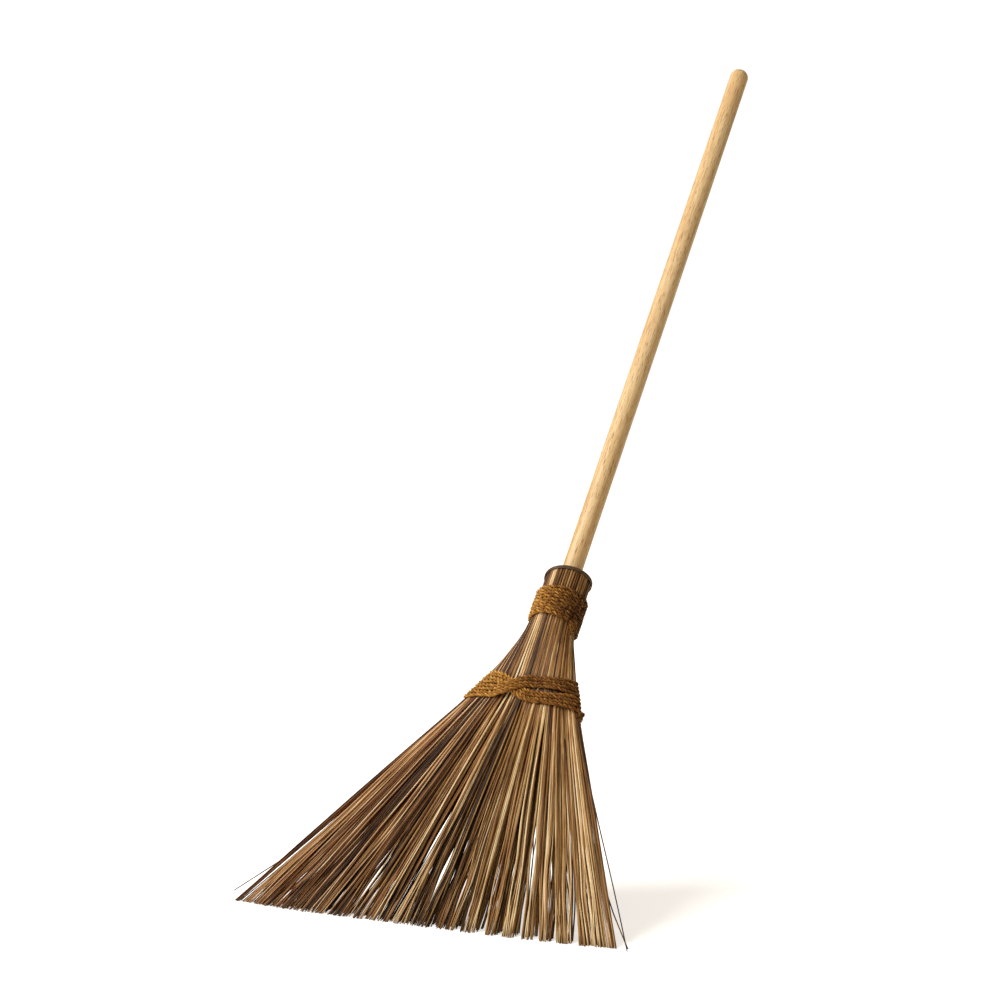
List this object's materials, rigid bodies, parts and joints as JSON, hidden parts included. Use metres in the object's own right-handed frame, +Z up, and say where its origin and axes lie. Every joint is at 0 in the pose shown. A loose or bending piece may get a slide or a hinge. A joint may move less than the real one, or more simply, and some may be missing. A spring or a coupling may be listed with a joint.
{
  "type": "yard broom",
  "caption": "Flat fan of palm-leaf ribs bound with coir rope to a round, domed wooden handle that leans back as in use.",
  "frame": {"origin": "where the handle's axis meets the floor, in the middle of the sole's depth", "axes": "+Z up from the floor; +X along the sweeping edge to the right; -Y is the broom's front, and the handle leans back 38 degrees towards +Y"},
  "size_m": [0.5068, 0.8099, 1.0001],
  "materials": {
    "handle_wood": "satin turned hardwood, pale tan with fine flecks",
    "palm_rib": "dry smooth leaf rib, mixed tan to dark brown",
    "coir_rope": "rough twisted coir fibre",
    "hoop": "dull dark brown, worn"
  },
  "bodies": {
    "root": {"back_ribs_01": "palm_rib", "back_ribs_02": "palm_rib", "back_ribs_03": "palm_rib", "back_ribs_04": "palm_rib", "back_ribs_05": "palm_rib", "back_ribs_06": "palm_rib", "back_ribs_07": "palm_rib", "back_ribs_08": "palm_rib", "back_ribs_09": "palm_rib", "back_ribs_10": "palm_rib", "back_ribs_11": "palm_rib", "back_ribs_12": "palm_rib", "fan_knot": "coir_rope", "fan_rope_inner": "coir_rope", "fan_rope_outer": "coir_rope", "front_ribs_01": "palm_rib", "front_ribs_02": "palm_rib", "front_ribs_03": "palm_rib", "front_ribs_04": "palm_rib", "front_ribs_05": "palm_rib", "front_ribs_06": "palm_rib", "front_ribs_07": "palm_rib", "front_ribs_08": "palm_rib", "front_ribs_09": "palm_rib", "front_ribs_10": "palm_rib", "front_ribs_11": "palm_rib", "front_ribs_12": "palm_rib", "handle": "handle_wood", "neck_knot": "coir_rope", "neck_rope": "coir_rope", "rim_hoop": "hoop", "stray_ribs": "palm_rib"}
  },
  "joints": []
}
